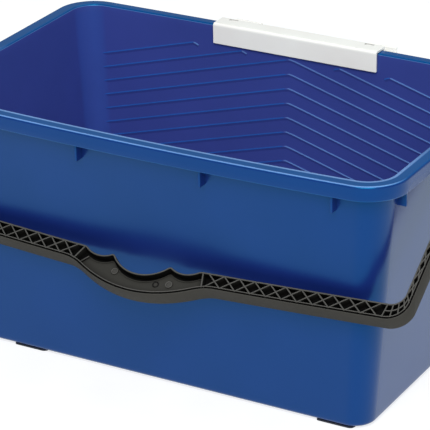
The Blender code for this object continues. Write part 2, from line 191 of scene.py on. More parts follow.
def inset(outline, distance):
    """Every side moves in by the distance, so a corner slides along the sum of its normals."""
    arriving = left_of(unit(outline - np.roll(outline, 1, axis=0)))
    leaving = left_of(unit(np.roll(outline, -1, axis=0) - outline))
    share = 1 + np.sum(arriving * leaving, axis=1, keepdims=True)
    return outline + distance * (arriving + leaving) / share


def plate(outline, low, high, edge, order=(0, 1, 2)):
    """An outline extruded from low to high, drawn in by the edge size on both faces.

    The order says which of x, y and z the outline's two directions and its thickness are."""
    outline = counter_clockwise(np.asarray(outline, float))
    rings = []
    for distance, level in ((edge, low), (0, low + edge), (0, high - edge), (edge, high)):
        flat = inset(outline, distance)
        rings.append(np.column_stack([flat, np.full(len(flat), level)]))
    placed = np.empty((4, len(outline), 3))
    placed[..., list(order)] = np.array(rings)
    return shell(placed)


square = np.array([[0, 0], [1, 0], [1, 1], [0, 1.0]])
print("inset square:", inset(square, 0.1).round(2).tolist())

# %% [markdown]
# ## Round things
# Pins, eyes and bosses are turned shapes: a profile of distances along the axis and radii, carried
# once round the axis. The pivot line runs along X, so they are all turned about that line.

# %% Turn a profile about the pivot line
TURN_STEPS = 64


def turned(profile, looped=False):
    """Point i, j is (x_i, r_i cos a_j, r_i sin a_j + pivot height) for angles a_j once round."""
    x, radius = np.asarray(profile, float).T[:, :, None]
    angle = np.linspace(0, 2 * np.pi, TURN_STEPS, endpoint=False)[None, :]
    y, z = radius * np.cos(angle), radius * np.sin(angle) + PIVOT_Z
    rings = np.stack([np.broadcast_to(x, y.shape), y, z], axis=-1)
    return shell(rings, looped)


def mirrored(profile):
    """The same profile on the left-hand side."""
    return [(-x, radius) for x, radius in profile]


print("a turned profile has", TURN_STEPS, "points round it")

# %% [markdown]
# ## Moulded plastic
# Injection-moulded plastic has one colour all through, but it's never quite even: the melt flows
# leave slow drifts of shade, the steel of the mould leaves a fine grain, and large walls are a
# little wavy, which bends reflections. Three noise textures at those three sizes give all this.
# A thinner, stretched noise adds the faint rubs that handling leaves, seen only in the gloss.
# Some pieces carry painted light and shade: each point of such a piece carries a number called
# place, and a colour ramp turns the number into a lighter or darker colour, standing in for
# highlights, bounce light and shade. Ambient occlusion paints shade into narrow hollows.

# %% Make a plastic finish
DRIFT_SIZE, WAVE_SIZE, RUB_SIZE, RUB_STRETCH = 60 * MM, 45 * MM, 3 * MM, (1, 1, 0.06)
NOISE_LOW, NOISE_HIGH = 0.3, 0.7


def plastic(name, colour, roughness, specular, grain_size, grain_depth, wave_depth, rubs,
            places=None, tint=(1, 1, 1), index=1.5, painted_shade_reach=0):
    """A Principled finish: shade drift into colour, rubs into roughness, grain and waves into bump.

    Places are (value, colour) stops that the piece's own place attribute picks its colour from; on
    the tub and the handle they paint light and shade. Ambient occlusion paints shade into hollows
    narrower than the reach given, where the colour sinks towards black."""
    made = bpy.data.materials.new(name)
    made.use_nodes = True
    nodes, links = made.node_tree.nodes, made.node_tree.links
    shader = nodes["Principled BSDF"]
    shader.inputs["Metallic"].default_value = 0
    shader.inputs["IOR"].default_value = index
    shader.inputs["Specular IOR Level"].default_value = specular
    shader.inputs["Specular Tint"].default_value = (*tint, 1)
    where = nodes.new("ShaderNodeTexCoord").outputs["Object"]

    def noise(size, detail, stretch=(1, 1, 1)):
        """Smooth noise from 0 to 1 whose lumps have about this size."""
        place = nodes.new("ShaderNodeMapping")
        place.inputs["Scale"].default_value = stretch
        links.new(where, place.inputs["Vector"])
        texture = nodes.new("ShaderNodeTexNoise")
        texture.inputs["Scale"].default_value = 1 / size
        texture.inputs["Detail"].default_value = detail
        links.new(place.outputs["Vector"], texture.inputs["Vector"])
        return texture.outputs["Fac"]

    def spread(value, low, high):
        """The middle part of a noise, stretched to run from low to high."""
        span = nodes.new("ShaderNodeMapRange")
        span.inputs["From Min"].default_value = NOISE_LOW
        span.inputs["From Max"].default_value = NOISE_HIGH
        span.inputs["To Min"].default_value = low
        span.inputs["To Max"].default_value = high
        links.new(value, span.inputs["Value"])
        return span.outputs["Result"]

    def ramp(value, stops):
        """A colour that passes through the stops as the value rises."""
        blend = nodes.new("ShaderNodeValToRGB")
        elements = blend.color_ramp.elements
        for place, _ in stops[1:-1]:
            elements.new(place)
        for element, (place, shade) in zip(elements, stops):
            element.position, element.color = place, (*shade, 1)
        links.new(value, blend.inputs["Fac"])
        return blend.outputs["Color"]

    drift = noise(DRIFT_SIZE, 3)
    if places:
        attribute = nodes.new("ShaderNodeAttribute")
        attribute.attribute_name = "place"
        multiply = nodes.new("ShaderNodeMix")
        multiply.data_type, multiply.blend_type = "RGBA", "MULTIPLY"
        multiply.inputs["Factor"].default_value = 1
        links.new(ramp(attribute.outputs["Fac"], places), multiply.inputs["A"])
        dimmed = ramp(drift, [(NOISE_LOW, (0.9, 0.9, 0.9)), (NOISE_HIGH, (1, 1, 1))])
        links.new(dimmed, multiply.inputs["B"])
        shade = multiply.outputs["Result"]
    else:
        darker, lighter = [c * 0.94 for c in colour], [min(1, c * 1.06) for c in colour]
        shade = ramp(drift, [(NOISE_LOW, darker), (NOISE_HIGH, lighter)])
    # Painted shade: ambient occlusion darkens the colour towards black in narrow hollows.
    if painted_shade_reach:
        hollow = nodes.new("ShaderNodeAmbientOcclusion")
        hollow.only_local, hollow.samples = True, 8
        hollow.inputs["Distance"].default_value = painted_shade_reach
        painted_hollow_shade = nodes.new("ShaderNodeMix")
        painted_hollow_shade.data_type = "RGBA"
        painted_hollow_shade.inputs["A"].default_value = (*(channel * 0.05 for channel in colour), 1)
        links.new(hollow.outputs["AO"], painted_hollow_shade.inputs["Factor"])
        links.new(shade, painted_hollow_shade.inputs["B"])
        shade = painted_hollow_shade.outputs["Result"]
    links.new(shade, shader.inputs["Base Color"])

    rub = spread(noise(RUB_SIZE, 4, RUB_STRETCH), roughness - rubs, roughness + rubs)
    links.new(rub, shader.inputs["Roughness"])

    grain = nodes.new("ShaderNodeBump")
    grain.inputs["Distance"].default_value = grain_depth
    grain.inputs["Strength"].default_value = 0.5
    links.new(noise(grain_size, 2), grain.inputs["Height"])
    wave = nodes.new("ShaderNodeBump")
    wave.inputs["Distance"].default_value = wave_depth
    wave.inputs["Strength"].default_value = 0.5
    links.new(noise(WAVE_SIZE, 1), wave.inputs["Height"])
    links.new(grain.outputs["Normal"], wave.inputs["Normal"])
    links.new(wave.outputs["Normal"], shader.inputs["Normal"])
    return made


# %% [markdown]
# ## The finishes
# The tub is glossy blue polypropylene. Its inside is painted lighter and violet, for the light that
# bounces between the inner walls, and its rim and ridges carry painted highlights. Its reflections
# are tinted blue too, because some of the light goes a little way into the plastic and comes out
# again. The handle is satin charcoal, painted nearly black in its pockets as painted shade, and
# paler on the tops of its ribs as a painted highlight. The clip is a warm white, and the pads are
# matt rubber. The named places are the numbers that the pieces' points carry further down.

# %% Mix the finishes
# Tub places: the wall is the plastic's own blue. The rim's top, its edge lines and the ridge crests
# are painted highlights, and the inside is painted lighter and violet for the light that bounces
# between the inner walls.
WALL_PLACE, RIM_LIT_PLACE, EDGE_HIGHLIGHT_PLACE, INSIDE_BOUNCE_PLACE, CREST_HIGHLIGHT_PLACE = 0, 0.3, 0.6, 0.85, 1
WALL_BLUE = (0.0075, 0.02, 0.14)
tub_blue = plastic(
    "tub_blue", WALL_BLUE, roughness=0.26, specular=1.0, grain_size=0.5 * MM,
    grain_depth=0.002 * MM, wave_depth=0.2 * MM, rubs=0.004, tint=(0.02, 0.55, 1), index=1.43,
    places=[(WALL_PLACE, WALL_BLUE), (RIM_LIT_PLACE, (0.0005, 0.06, 0.24)),
            (EDGE_HIGHLIGHT_PLACE, (0.16, 0.3, 0.62)), (INSIDE_BOUNCE_PLACE, (0.04, 0.057, 0.265)),
            (CREST_HIGHLIGHT_PLACE, (0.012, 0.088, 0.37))])

# Painted light on the handle: the first two places are painted shade for its pockets, grooves and
# rib flanks, the middle one is its own charcoal, and the last three are painted highlights for the
# lip, the ejector marks and the tops of rails and ribs.
RECESS_SHADE, FLANK_SHADE, BODY, LIP_HIGHLIGHT, MARK_HIGHLIGHT, TOP_HIGHLIGHT = 0, 0.15, 0.5, 0.7, 0.8, 1
# The handle gets painted shade in its hollows from ambient occlusion.
handle_charcoal = plastic(
    "handle_charcoal", (0.042, 0.04, 0.035), roughness=0.5, specular=0.03, grain_size=0.45 * MM,
    grain_depth=0.05 * MM, wave_depth=0.05 * MM, rubs=0.06, painted_shade_reach=6 * MM,
    places=[(RECESS_SHADE, (0.006, 0.006, 0.006)), (BODY, (0.046, 0.044, 0.039)),
            (TOP_HIGHLIGHT, (0.095, 0.091, 0.083))])
pin_charcoal = plastic(
    "pin_charcoal", (0.03, 0.03, 0.028), roughness=0.36, specular=0.45, grain_size=0.4 * MM,
    grain_depth=0.03 * MM, wave_depth=0.02 * MM, rubs=0.05)
# The clip gets painted shade in its narrow hollows from ambient occlusion.
clip_white = plastic(
    "clip_white", (0.975, 0.935, 0.88), roughness=0.33, specular=0.5, grain_size=0.6 * MM,
    grain_depth=0.02 * MM, wave_depth=0.08 * MM, rubs=0.05, painted_shade_reach=2 * MM)
foot_rubber = plastic(
    "foot_rubber", (0.014, 0.018, 0.03), roughness=0.68, specular=0.3, grain_size=0.35 * MM,
    grain_depth=0.12 * MM, wave_depth=0.05 * MM, rubs=0.08)
print("finishes:", [m.name for m in bpy.data.materials if m.use_nodes][-5:])

# %% [markdown]
# ## The tub's outline
# The rim is a rounded rectangle whose front edge bows out 7 mm and whose back edge bows 1.6 mm, so
# that the long walls stay stiff. Going round it, each point is a place on the straight part plus a
# direction on the corner's arc. Written that way, one set of shares draws every level of the tub,
# and only seven sizes change from level to level.

# %% Draw one level of the tub
ARC, LONG, SHORT = 16, 72, 28


def around():
    """Shares (-1 to 1) of the straight half lengths, and directions on the corners, going round."""
    straight_long = np.linspace(1, -1, LONG, endpoint=False)[1:]
    straight_short = np.linspace(-1, 1, SHORT, endpoint=False)[1:]
    parts = []
    for quarter, (sx, sy) in enumerate(((1, -1), (1, 1), (-1, 1), (-1, -1))):
        angle = np.radians(quarter * 90 - 90 + np.linspace(0, 90, ARC + 1))
        arc = [np.full(ARC + 1, sx), np.full(ARC + 1, sy), np.cos(angle), np.sin(angle)]
        parts.append(np.stack(arc, axis=-1))
        if quarter in (1, 3):
            sides = straight_long * sx
            edge = [sides, np.full(len(sides), sy), 0 * sides, np.full(len(sides), sy)]
        else:
            sides = straight_short * -sy
            edge = [np.full(len(sides), sx), sides, np.full(len(sides), sx), 0 * sides]
        parts.append(np.stack(np.broadcast_arrays(*edge), axis=-1))
    return np.concatenate(parts)


SHARES = around()


def levels(sizes):
    """Rings from rows of (half x, front, back, corner, front bow, back bow, z).

    A point is share * (half length - corner) + corner * direction. Then y moves out by the bow
    times 1 - (x / half x) squared."""
    half_x, front, back, corner, front_bow, back_bow, z = np.asarray(sizes, float).T[:, :, None]
    share_x, share_y, direct_x, direct_y = SHARES.T[:, None, :]
    x = share_x * (half_x - corner) + corner * direct_x
    toward_back = (share_y + 1) / 2
    y = (1 - toward_back) * (corner - front) + toward_back * (back - corner) + corner * direct_y
    bulge = 1 - (x / half_x) ** 2
    y = y + bulge * np.where(y > 0, back_bow, -front_bow)
    return np.stack([x, y, np.broadcast_to(z, x.shape)], axis=-1)


print("points round each level:", len(SHARES))

# %% [markdown]
# ## Wall and rim
# The walls lean out by about six degrees, so that tubs stack and leave the mould. The wall's sizes
# at any height are a straight mix of its base and its top. The rim stands 8.3 mm outside the wall
# and turns down into a skirt, and its sizes only depend on how far in and how far down a level is.

# %% Give the wall's and the rim's sizes
RIM_CORNER, OVERHANG, BACK_OVERHANG = 30 * MM, 8.3 * MM, 6.4 * MM
BASE_HALF_X, BASE_FRONT, BASE_BACK, BASE_CORNER = 168.7 * MM, 92 * MM, 95.5 * MM, 17 * MM
WALL, FLOOR = 2.6 * MM, 2.8 * MM
SKIRT_DROP, SKIRT_WALL = 11.6 * MM, 2.1 * MM


def wall(z, inwards=0.0):
    """The wall's level at height z: base + (top - base) * rise, drawn in by a distance."""
    rise = (z - BASE_Z) / (RIM_Z - BASE_Z)
    base = np.array([BASE_HALF_X, BASE_FRONT, BASE_BACK, BASE_CORNER])
    top = np.array([RIM_HALF_X - OVERHANG, RIM_HALF_Y - OVERHANG, RIM_HALF_Y - BACK_OVERHANG,
                    RIM_CORNER - OVERHANG])
    sizes = base + (top - base) * rise - inwards
    return (*sizes, FRONT_BOW * rise**3, BACK_BOW * rise, z)


def rim(inwards, drop):
    """The rim's level at a distance in from its outer edge and a drop from its top."""
    return (RIM_HALF_X - inwards, RIM_HALF_Y - inwards, RIM_HALF_Y - inwards, RIM_CORNER - inwards,
            FRONT_BOW, BACK_BOW, RIM_Z - drop)


def quarter(steps=6):
    """Sines and cosines of a quarter turn, for the arcs of the fillets."""
    angle = np.linspace(0, np.pi / 2, steps)
    return list(zip(np.sin(angle), np.cos(angle)))


print("wall at mid height:", [round(float(v) * 1000, 1) for v in wall((BASE_Z + RIM_Z) / 2)[:4]])

# %% [markdown]
# ## The tub's skin
# One closed skin goes from the middle of the base up the outside, round the rim and its skirt, and
# down the inside to the floor. Each bend is a real fillet of its own size, because the fillets
# catch the light as the bright lines that outline a moulded tub. The list is in the order of that
# walk: base, outer wall, root of the rim, skirt, top of the rim, mouth, inner wall and floor.

# %% Build the tub's skin
BASE_FILLET, FLOOR_FILLET = 3.2 * MM, 7 * MM
TOP_ROUND, MOUTH_ROUND, ROOT_ROUND, SKIRT_ROOT = 1.7 * MM, 1.3 * MM, 1.2 * MM, 0.8 * MM
LINE_WIDTH = 0.5 * MM
under = RIM_Z - WALL
floor_z = BASE_Z + FLOOR
heights = np.linspace(BASE_Z + 6 * MM, under - 4 * MM, 26)
skirt_mid = SKIRT_WALL / 2

tub_levels = [wall(BASE_Z, BASE_FILLET + inwards) for inwards in (12 * MM, 1 * MM)]
tub_levels += [wall(BASE_Z + BASE_FILLET * (1 - c), BASE_FILLET * (1 - s)) for s, c in quarter()]
tub_levels += [wall(z) for z in heights]
tub_levels += [wall(under - ROOT_ROUND * (1 - s), -ROOT_ROUND * (1 - c)) for s, c in quarter(4)]
tub_levels += [rim(SKIRT_WALL + SKIRT_ROOT * (1 - s), WALL + SKIRT_ROOT * (1 - c))
               for s, c in quarter(4)]
tub_levels += [rim(skirt_mid * (1 + math.cos(t)), SKIRT_DROP - skirt_mid * (1 - math.sin(t)))
               for t in np.linspace(0, math.pi, 7)]
tub_levels += [rim(0, 6 * MM), rim(0, TOP_ROUND + LINE_WIDTH)]
tub_levels += [rim(TOP_ROUND * (1 - c), TOP_ROUND * (1 - s)) for s, c in quarter()]
tub_levels += [rim(TOP_ROUND + LINE_WIDTH, 0), rim(5 * MM, 0)]
tub_levels += [wall(RIM_Z, WALL - MOUTH_ROUND - outwards) for outwards in (2.2 * MM, 1.3 * MM)]
tub_levels += [wall(RIM_Z - MOUTH_ROUND * (1 - c), WALL - MOUTH_ROUND * (1 - s))
               for s, c in quarter()]
MOUTH_LEVEL = len(tub_levels)
tub_levels += [wall(z, WALL) for z in heights[::-1]]
tub_levels += [wall(floor_z + FLOOR_FILLET * (1 - s), WALL + FLOOR_FILLET * (1 - c))
               for s, c in quarter(8)]
tub_levels += [wall(floor_z, WALL + FLOOR_FILLET + inwards) for inwards in (1 * MM, 6 * MM)]
tub_skin = shell(levels(tub_levels))
print("tub skin:", len(tub_levels), "levels")

# %% [markdown]
# ## Roll-off ridges
# The inside of the back wall carries chevrons, one below the other, that squeeze paint out of the
# roller and let it run back to the sides. Their arms fall 27 mm in every 100 mm, they end on two
# lines that lean with the walls, and the top ones are cut off level under the clip, with a small
# turned-down end. Each ridge is a low bump carried along its line on the wall, rooted inside it.
# The painted highlight says how much lighter each point of the bump's section is painted than the
# wall round it, standing in for the light on its crest.

# %% Build the ridges
RIDGE_PITCH, RIDGE_SLOPE = 11.83 * MM, 0.27
RIDGE_TOP, RIDGE_LOWEST = RIM_Z - 18 * MM, BASE_Z + 16 * MM
RIDGE_HALF_WIDTH, RIDGE_TAPER = 175.3 * MM, 0.094
APEX_ROUND, HOOK_LENGTH, HOOK_DROP = 1.2 * MM, 5 * MM, 1.6 * MM
RIDGE_SECTION = np.array([(-2.6, -1.0), (-2.5, -0.1), (-1.6, 0.12), (-0.8, 0.42), (-0.25, 0.68),
                          (0.1, 0.72), (0.4, 0.55), (0.55, 0.1), (0.8, -0.1), (0.9, -1.0)]) * MM
# Painted highlight along the ridges' crests; the arms that fall to the right get the most.
RIDGE_HIGHLIGHT = np.array([0, 0, 0, 0, 0.1, 0.8, 1, 0.6, 0, 0])
FALLING_HIGHLIGHT, RISING_HIGHLIGHT = 0.14, -0.15


def back_wall_y(x, z):
    """The inner face of the back wall: its back size plus the bow, less the wall's thickness."""
    rise = (z - BASE_Z) / (RIM_Z - BASE_Z)
    top_back = RIM_HALF_Y - BACK_OVERHANG
    half_x = BASE_HALF_X + (RIM_HALF_X - OVERHANG - BASE_HALF_X) * rise - WALL
    back = BASE_BACK + (top_back - BASE_BACK) * rise - WALL
    return back + BACK_BOW * rise * (1 - (x / half_x) ** 2)


def ridge(x, z):
    """The section carried along (x, z): across moves square to the line, out moves off the wall.

    With the skin come its place numbers: a painted highlight along its crest, strongest on the arms
    that fall to the right."""
    line = np.stack([x, z], axis=-1)
    square_to = left_of(unit(np.gradient(line, axis=0)))
    across, out = RIDGE_SECTION.T[:, None, :]
    side = line[:, None, :] + across[..., None] * square_to[:, None, :]
    y = back_wall_y(side[..., 0], side[..., 1]) - out
    # Painted highlight: both arms are painted lighter than the inside, the falling ones most.
    rising = np.gradient(z) * np.gradient(x) > 0
    finish = INSIDE_BOUNCE_PLACE - RIDGE_HIGHLIGHT * np.where(rising, RISING_HIGHLIGHT, FALLING_HIGHLIGHT)[:, None]
    return shell(np.stack([side[..., 0], y, side[..., 1]], axis=-1)), finish.ravel()


def ridge_end(apex_z):
    """How far an arm reaches: to the leaning side line or the lowest level, if that is nearer."""
    reach = RIDGE_HALF_WIDTH - RIDGE_TAPER * (RIM_Z - apex_z)
    return min(reach / (1 + RIDGE_TAPER * RIDGE_SLOPE), (apex_z - RIDGE_LOWEST) / RIDGE_SLOPE)


ridges = []
for apex_z in np.arange(RIDGE_TOP, RIDGE_LOWEST + RIDGE_PITCH, -RIDGE_PITCH):
    x = np.linspace(-1, 1, 81) * ridge_end(apex_z)
    ridges.append(ridge(x, apex_z + RIDGE_SLOPE * (APEX_ROUND - np.hypot(x, APEX_ROUND))))
for apex_z in (RIDGE_TOP + RIDGE_PITCH, RIDGE_TOP + 2 * RIDGE_PITCH):
    start = (apex_z - RIDGE_TOP) / RIDGE_SLOPE
    run = np.linspace(start, ridge_end(apex_z), 41)
    hook = start - HOOK_LENGTH * np.array([1, 0.75, 0.45, 0.2])
    hook_z = RIDGE_TOP - HOOK_DROP * np.array([1, 0.6, 0.25, 0.06])
    x = np.concatenate([hook, run])
    z = np.concatenate([hook_z, apex_z - RIDGE_SLOPE * run])
    ridges += [ridge(x, z), ridge(-x[::-1], z[::-1])]
print("ridges:", len(ridges))

# %% [markdown]
# ## Webs and bosses
# Thin webs join the skirt to the wall: four along each long side and one near each end of the
# short sides. In the middle of each end wall a round boss stands out under the rim, with a blind
# hole for the handle's pin. Plates with softened edges make the webs, and turned profiles the
# bosses.

# %% Build the webs
WEB_HALF, WEB_DROP, WEB_IN, WEB_PITCH = 1 * MM, 25.6 * MM, 4.6 * MM, 102.7 * MM
SIDE_WEB_Y, WEB_ROOT, WEB_EDGE = 85 * MM, 1.5 * MM, 0.3 * MM
WEB_TOP = RIM_Z - WALL + 1 * MM
low_z = RIM_Z - WEB_DROP


def web_outline(wall_low, wall_high, outer):
    """A quarter-drop shape: along the wall, level under the rim, and down its outer edge."""
    corners = [(wall_low, low_z), (wall_high, WEB_TOP), (outer, WEB_TOP), (outer, low_z)]
    return round_corners(corners, [0.3 * MM, 0.3 * MM, 0.3 * MM, 0.9 * MM], steps=4)


low_sizes, high_sizes = wall(low_z), wall(WEB_TOP)
webs = []
for x in WEB_PITCH * np.array([-1.5, -0.5, 0.5, 1.5]):
    bulge = 1 - (x / RIM_HALF_X) ** 2
    for side, index, bow in ((-1, 1, FRONT_BOW), (1, 2, BACK_BOW)):
        low_face = low_sizes[index] + low_sizes[index + 3] * bulge - WEB_ROOT
        high_face = high_sizes[index] + high_sizes[index + 3] * bulge - WEB_ROOT
        outline = web_outline(low_face, high_face, RIM_HALF_Y - WEB_IN + bow * bulge)
        outline[:, 0] *= side
        webs.append(plate(outline, x - WEB_HALF, x + WEB_HALF, WEB_EDGE, order=(1, 2, 0)))
for side in (-1, 1):
    for y in (-SIDE_WEB_Y, SIDE_WEB_Y):
        outline = web_outline(low_sizes[0] - WEB_ROOT, high_sizes[0] - WEB_ROOT,
                              RIM_HALF_X - WEB_IN)
        outline[:, 0] *= side
        webs.append(plate(outline, y - WEB_HALF, y + WEB_HALF, WEB_EDGE, order=(0, 2, 1)))
print("webs:", len(webs))

# %% [markdown]
# ## Bosses, and the whole tub
# A boss is turned: its foot spreads where it meets the wall, its rim is softened, and the blind
# hole takes the pin with 0.08 mm of room. Then all the tub's skins go into one mesh, because the
# real tub comes out of one mould.

# %% Build the bosses and finish the tub
BOSS_R, BOSS_FACE_X, PIN_R, PIN_CLEAR = 7.4 * MM, 202.9 * MM, 4 * MM, 0.08 * MM
wall_x = wall(PIVOT_Z)[0]
hole_r, hole_end = PIN_R + PIN_CLEAR, wall_x + 0.8 * MM
boss = [(wall_x - 1.2 * MM, BOSS_R + 1.2 * MM), (wall_x + 0.4 * MM, BOSS_R + 0.4 * MM),
        (wall_x + 1.6 * MM, BOSS_R), (BOSS_FACE_X - 0.5 * MM, BOSS_R),
        (BOSS_FACE_X - 0.15 * MM, BOSS_R - 0.15 * MM), (BOSS_FACE_X, BOSS_R - 0.5 * MM),
        (BOSS_FACE_X, hole_r + 0.3 * MM), (BOSS_FACE_X - 0.3 * MM, hole_r), (hole_end, hole_r)]
bosses = [turned(boss), turned(mirrored(boss))]
tub_shells = [tub_skin, *(skin for skin, _ in ridges), *webs, *bosses]
tub = add_piece("tub_moulding", tub_shells, tub_blue, "tub_body", "tub")

# %% [markdown]
# ## Where the tub's painted light goes
# Each point of the tub gets its place number. The outside is plain wall, with a faint painted
# highlight on the skirt's lower edge. The rim's top is painted a lighter, purer blue between two
# painted highlight lines, one on each edge. The outer line shows along the front, and the inner one
# fades out along the sides. The inside is painted violet and lighter for the bounce light between
# its walls, and a little lighter and bluer in its corners. Levels are counted back from the mouth.

# %% Number the tub's points
# Painted light: the inside's corners are painted a little lighter and bluer.
CORNER_LIGHT_SHIFT = 0.03
level_place = np.full(len(tub_levels), float(WALL_PLACE))
# Painted highlight: a faint light line along the skirt's lower edge.
level_place[MOUTH_LEVEL - 21:MOUTH_LEVEL - 18] = [RIM_LIT_PLACE, RIM_LIT_PLACE, WALL_PLACE]
# Painted highlights: light lines on the rim's outer and inner edges, with the rim's top painted a
# lighter blue between them.
level_place[MOUTH_LEVEL - 16:MOUTH_LEVEL] = [
    WALL_PLACE, WALL_PLACE, 0.15, EDGE_HIGHLIGHT_PLACE, EDGE_HIGHLIGHT_PLACE, 0.35, RIM_LIT_PLACE, RIM_LIT_PLACE, RIM_LIT_PLACE,
    EDGE_HIGHLIGHT_PLACE, EDGE_HIGHLIGHT_PLACE, EDGE_HIGHLIGHT_PLACE, 0.63, 0.7, 0.78, INSIDE_BOUNCE_PLACE]
# The whole inside is painted lighter and violet, standing in for the light bouncing between its
# walls.
level_place[MOUTH_LEVEL:] = INSIDE_BOUNCE_PLACE
skin_place = np.repeat(level_place[:, None], len(SHARES), axis=1)

# The inner painted highlight line is strongest at the front and fades to the rim's painted colour
# along the sides.
toward_front = np.clip(-SHARES[:, 1], 0, 1)
mouth = skin_place[MOUTH_LEVEL - 7:MOUTH_LEVEL - 1]
mouth[:] = RIM_LIT_PLACE + (mouth - RIM_LIT_PLACE) * toward_front
# The outer painted highlight line is painted only where the rim faces the front.
facing_front = np.clip(-1.4 * SHARES[:, 3], 0, 1)
top_edge = skin_place[MOUTH_LEVEL - 16:MOUTH_LEVEL - 10]
plain_edge = np.array([WALL_PLACE, WALL_PLACE, 0.1, 0.22, RIM_LIT_PLACE, RIM_LIT_PLACE])[:, None]
top_edge[:] = plain_edge + (top_edge - plain_edge) * facing_front
on_corner = np.minimum(np.abs(SHARES[:, 2]), np.abs(SHARES[:, 3]))
skin_place[MOUTH_LEVEL:] += CORNER_LIGHT_SHIFT * np.clip(on_corner / 0.25, 0, 1)

place = np.full(len(tub.data.vertices), float(WALL_PLACE))
place[:skin_place.size] = skin_place.ravel()
ridge_place = np.concatenate([place_of for _, place_of in ridges])
place[skin_place.size:skin_place.size + len(ridge_place)] = ridge_place
tub.data.attributes.new("place", "FLOAT", "POINT").data.foreach_set("value", place)
print("points on the flat inside:", int((place == INSIDE_BOUNCE_PLACE).sum()))

# %% [markdown]
# ## The handle, drawn flat
# The handle is a flat bail. It's easiest to draw lying down: u runs along the tub and v is the
# distance from the pivot line. Turned by its resting angle about that line it becomes the handle
# that leans on the front wall. The bar is a shallow V, lowest in the middle, where three hollows
# for fingers are cut into the upper edge and the lower edge swells out to fill the palm.

# %% Describe the two edges of the bar
REST = math.radians(35.47)
HALF_THICK = 7.35 * MM
BAR_Y, BAR_Z = -110.5 * MM, BASE_Z + 117.7 * MM
BAR_V = -BAR_Y * math.cos(REST) + (PIVOT_Z - BAR_Z) * math.sin(REST)
BAR_WIDE, GRIP_HALF, GRIP_DROP = 12.6 * MM, 55 * MM, 37.2 * MM
PEAK_IN, PEAK_OUT, MIDDLE_HOLLOW, SIDE_HOLLOW = 24 * MM, 48 * MM, 11.6 * MM, 4.2 * MM
BAR_FALL, BAR_CURVE = 9.3 * MM, 1.7 * MM


def placed(flat, height):
    """x = u, y = -v cos a - h sin a, z = pivot - v sin a + h cos a, for the resting angle a."""
    u, v = flat[..., 0], flat[..., 1]
    height = np.broadcast_to(height, u.shape)
    y = -v * math.cos(REST) - height * math.sin(REST)
    z = PIVOT_Z - v * math.sin(REST) + height * math.cos(REST)
    return np.stack([u, y, z], axis=-1)


def bar_inner(u):
    """A shallow V plus a curve: fall * (1 - s) + curve * (1 - s^2), s from 0 to 1 along the bar."""
    share = np.abs(u) / RIM_HALF_X
    return BAR_V + BAR_FALL * (1 - share) + BAR_CURVE * (1 - share**2)


def hollow(u, left, right, depth):
    """Depth of a circular hollow: sqrt(R^2 - (u - middle)^2) - (R - depth)."""
    half = (right - left) / 2
    radius = (half**2 + depth**2) / (2 * depth)
    off = np.clip(u - left - half, -half, half)
    return np.sqrt(radius**2 - off**2) - (radius - depth)


def grip_inner(u):
    """The bar's upper edge with one hollow in the middle and a shallower one on each side."""
    place = np.abs(u)
    line = np.interp(place, [PEAK_IN, PEAK_OUT], [bar_inner(PEAK_IN), bar_inner(PEAK_OUT)])
    middle = bar_inner(PEAK_IN) + hollow(u, -PEAK_IN, PEAK_IN, MIDDLE_HOLLOW)
    side = line + hollow(place, PEAK_IN, PEAK_OUT, SIDE_HOLLOW)
    return np.where(place < PEAK_IN, middle, np.where(place < PEAK_OUT, side, bar_inner(u)))


def grip_outer(u):
    """The lower edge: a parabola under the grip, and the bar's width below its upper edge."""
    end = bar_inner(GRIP_HALF) + BAR_WIDE
    belly = BAR_V + GRIP_DROP + (end - BAR_V - GRIP_DROP) * (u / GRIP_HALF) ** 2
    return np.where(np.abs(u) < GRIP_HALF, belly, bar_inner(u) + BAR_WIDE)


print(f"bar {BAR_V * 1000:.1f} mm from the pivot line at its ends")

# %% [markdown]
# ## The two edges as paths
# Both edges run from one eye down an arm, round a corner, along the bar and back up to the other
# eye. They have the same number of points, so a plate can be stretched between them. A moving
# average softens the points between the hollows, as the mould does.

# %% Lay out the two edge paths
ARM_INNER_X, ARM_OUTER_X, ARM_END = 204.3 * MM, 210.5 * MM, 7 * MM
INNER_CORNER, OUTER_CORNER = 10 * MM, 17 * MM
BAR_POINTS, CORNER_POINTS, ARM_POINTS = 320, 17, 60


def soften(edge, reach=1.6 * MM):
    """An edge averaged over a short stretch to both sides of each point."""
    shifts = np.linspace(-reach, reach, 9)
    return lambda u: np.mean([edge(u + shift) for shift in shifts], axis=0)


def edge_path(edge, arm_x, corner):
    """The right half, from the middle of the bar to the arm's end, joined to its mirror image."""
    centre_u = arm_x - corner
    centre_v = float(edge(np.array([centre_u]))[0]) - corner
    u = np.linspace(0, centre_u, BAR_POINTS)
    turn = np.linspace(0, np.pi / 2, CORNER_POINTS)[1:]
    v = np.linspace(centre_v, ARM_END, ARM_POINTS)[1:]
    right = np.concatenate([
        np.stack([u, edge(u)], axis=-1),
        np.stack([centre_u + corner * np.sin(turn), centre_v + corner * np.cos(turn)], axis=-1),
        np.stack([np.full(len(v), arm_x), v], axis=-1),
    ])
    return np.concatenate([right[:0:-1] * (-1, 1), right])


def outwards_from(path):
    """At each point of a path, the direction square to it that points out of the bail's loop."""
    return left_of(unit(np.gradient(path, axis=0)))


inner_edge, outer_edge = soften(grip_inner), soften(grip_outer, 7 * MM)
inner_path = edge_path(inner_edge, ARM_INNER_X, INNER_CORNER)
outer_path = edge_path(outer_edge, ARM_OUTER_X, OUTER_CORNER)
print("points along each edge:", len(inner_path), len(outer_path))

# %% [markdown]
# ## Rails and the middle web
# In section the handle is an H. A thin rail stands on the inner edge. The outer edge is thicker,
# because it's what the hand closes on, and a fine groove runs along it beside the rail, above and
# below. A web joins the two half way up. Rails are sections carried along a path; the web is a
# strip between the two paths.

